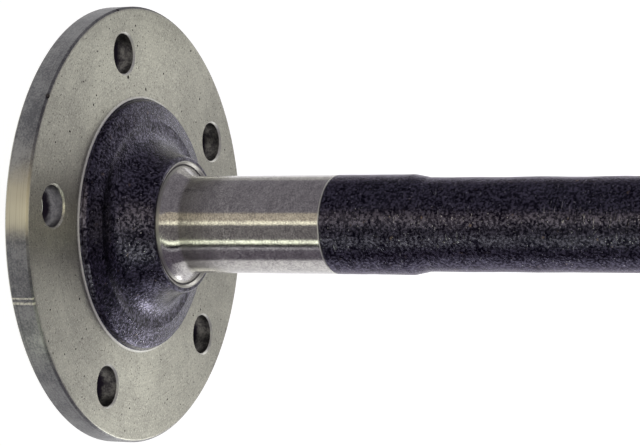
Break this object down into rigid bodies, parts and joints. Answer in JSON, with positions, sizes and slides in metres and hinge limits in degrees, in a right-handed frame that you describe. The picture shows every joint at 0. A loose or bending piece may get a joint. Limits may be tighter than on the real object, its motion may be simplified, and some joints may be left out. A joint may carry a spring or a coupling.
{
  "type": "axle shaft",
  "caption": "Flanged steel axle shaft: round wheel flange with stud holes, forged hub, ground bearing journal, long rough shaft and a splined inner end with a clip groove.",
  "frame": {"origin": "centre of the end face of the wheel pilot, which the shaft stands on", "axes": "+Z along the shaft from the wheel flange to the splined inner end; one stud hole lies on -Y"},
  "size_m": [0.16, 0.16, 0.76],
  "materials": {
    "forged_steel": "turned and ground bright on the flange and journal, dark forging scale on the hub and shaft"
  },
  "bodies": {
    "root": {"axle_shaft": "forged_steel"}
  },
  "joints": []
}
